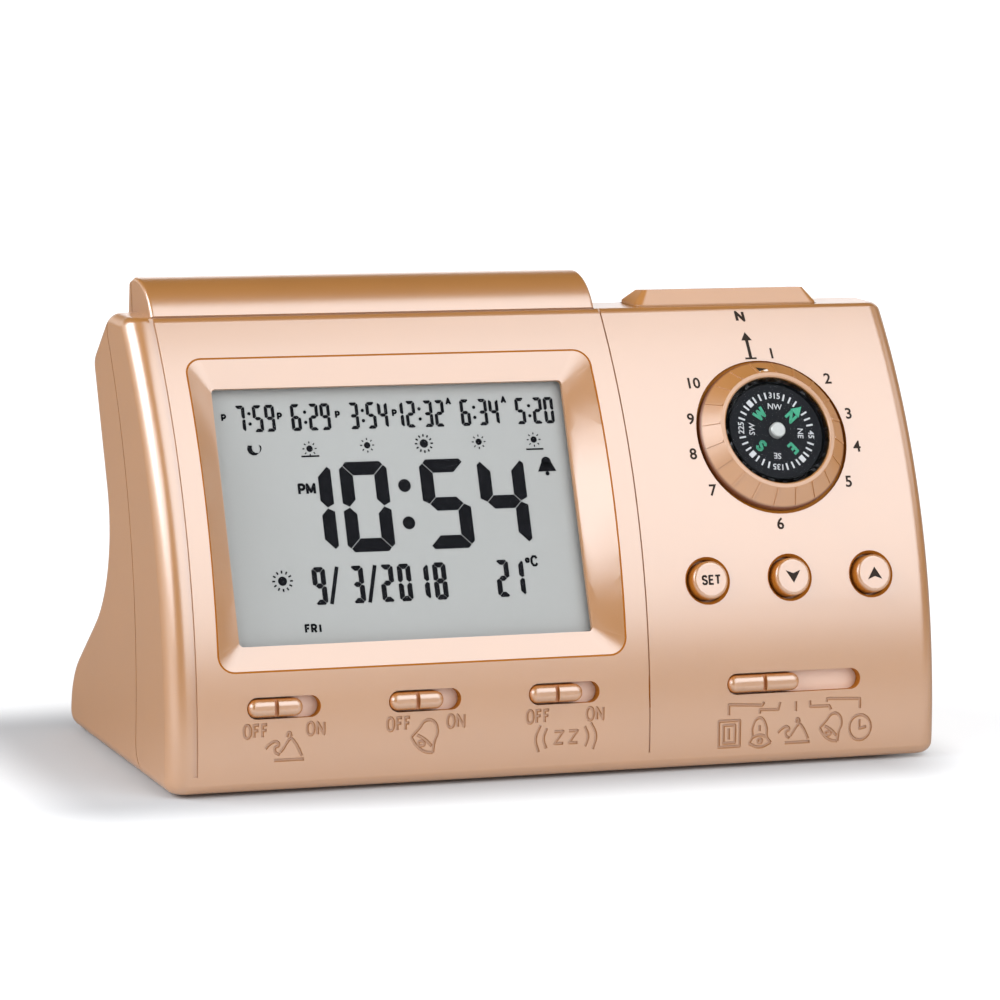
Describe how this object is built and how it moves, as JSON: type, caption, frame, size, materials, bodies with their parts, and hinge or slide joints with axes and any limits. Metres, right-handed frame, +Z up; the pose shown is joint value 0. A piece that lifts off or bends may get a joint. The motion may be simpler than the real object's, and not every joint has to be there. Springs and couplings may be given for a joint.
{
  "type": "azan clock",
  "caption": "Desk azan clock with a leaning curved face, wide display, compass in a selector ring, push buttons, slide switches, top light button and a floor battery bay.",
  "frame": {"origin": "middle of the footprint, on the surface that the rubber feet stand on", "axes": "+X to the right across the face, +Y from the face to the back, +Z up"},
  "size_m": [0.15, 0.0615, 0.0869],
  "materials": {
    "case_paint": "satin rose-gold metallic paint on moulded plastic",
    "trim_paint": "satin rose-gold metallic paint, as the case",
    "clear_lens": "clear polished",
    "display_glass": "grey-green reflective display",
    "white_plastic": "plain moulded",
    "black_plastic": "gloss black moulded",
    "card_black": "matt black card",
    "switch_plastic": "plain black moulded",
    "board_green": "solder-masked board",
    "strip_rubber": "elastomer",
    "foot_rubber": "matt rubber",
    "steel": "plated",
    "bright_metal": "polished",
    "magnet_iron": "sintered",
    "contact_brass": "sprung sheet",
    "cone_paper": "pressed paper",
    "cell_jacket": "printed steel can"
  },
  "bodies": {
    "case": {"front_shell": "case_paint", "rear_shell": "case_paint", "battery_front": "cell_jacket", "battery_rear": "cell_jacket", "battery_contacts": "steel", "battery_springs": "steel", "case_screws": "steel", "rubber_feet": "foot_rubber", "display_lens": "clear_lens", "display_glass": "display_glass", "display_holder": "white_plastic", "backlight_panel": "white_plastic", "contact_strips": "strip_rubber", "main_board": "board_green", "board_screws": "steel", "driver_chip": "switch_plastic", "quartz_crystal": "steel", "temperature_sensor": "switch_plastic", "dial_board": "board_green", "key_board": "board_green", "key_switches": "switch_plastic", "mode_switch": "steel", "slide_switches": "steel", "switch_board": "board_green", "light_board": "board_green", "light_switch": "switch_plastic", "speaker_basket": "steel", "speaker_cone": "cone_paper", "speaker_magnet": "magnet_iron"},
    "selector_knob": {"selector_knob": "trim_paint", "selector_wiper": "contact_brass", "compass_cup": "black_plastic", "compass_pivot": "steel", "compass_window": "clear_lens"},
    "compass_card": {"compass_card": "card_black", "compass_hub": "bright_metal", "compass_magnet": "magnet_iron"},
    "set_button": {"set_button": "trim_paint"},
    "down_button": {"down_button": "trim_paint"},
    "up_button": {"up_button": "trim_paint"},
    "chime_slider": {"chime_slider": "trim_paint"},
    "alarm_slider": {"alarm_slider": "trim_paint"},
    "snooze_slider": {"snooze_slider": "trim_paint"},
    "mode_slider": {"mode_slider": "trim_paint"},
    "light_button": {"light_button": "trim_paint"},
    "battery_door": {"battery_door": "case_paint"}
  },
  "joints": [
    {"name": "selector_turn", "type": "hinge", "parent": "case", "child": "selector_knob", "pos_m": [0.0455, -0.01494, 0.05908], "axis": [0, -0.8721, 0.4894], "continuous": true},
    {"name": "compass_swing", "type": "hinge", "parent": "selector_knob", "child": "compass_card", "pos_m": [0.0455, -0.01494, 0.05908], "axis": [0, -0.8721, 0.4894], "continuous": true},
    {"name": "set_press", "type": "slide", "parent": "case", "child": "set_button", "axis": [0, 0.9571, -0.2899], "range_m": [0, 0.0008], "stiffness_N_per_m": 300, "springref_m": -0.002},
    {"name": "down_press", "type": "slide", "parent": "case", "child": "down_button", "axis": [0, 0.9571, -0.2899], "range_m": [0, 0.0008], "stiffness_N_per_m": 300, "springref_m": -0.002},
    {"name": "up_press", "type": "slide", "parent": "case", "child": "up_button", "axis": [0, 0.9571, -0.2899], "range_m": [0, 0.0008], "stiffness_N_per_m": 300, "springref_m": -0.002},
    {"name": "chime_switch_slide", "type": "slide", "parent": "case", "child": "chime_slider", "axis": [1, 0, 0], "range_m": [0, 0.0033]},
    {"name": "alarm_switch_slide", "type": "slide", "parent": "case", "child": "alarm_slider", "axis": [1, 0, 0], "range_m": [0, 0.0033]},
    {"name": "snooze_switch_slide", "type": "slide", "parent": "case", "child": "snooze_slider", "axis": [1, 0, 0], "range_m": [0, 0.0033]},
    {"name": "mode_switch_slide", "type": "slide", "parent": "case", "child": "mode_slider", "axis": [1, 0, 0], "range_m": [0, 0.0122]},
    {"name": "light_press", "type": "slide", "parent": "case", "child": "light_button", "axis": [0, 0, -1], "range_m": [0, 0.0007], "stiffness_N_per_m": 400, "springref_m": -0.002},
    {"name": "battery_door_slide", "type": "slide", "parent": "case", "child": "battery_door", "axis": [0, 1, 0], "range_m": [0, 0.01]}
  ]
}
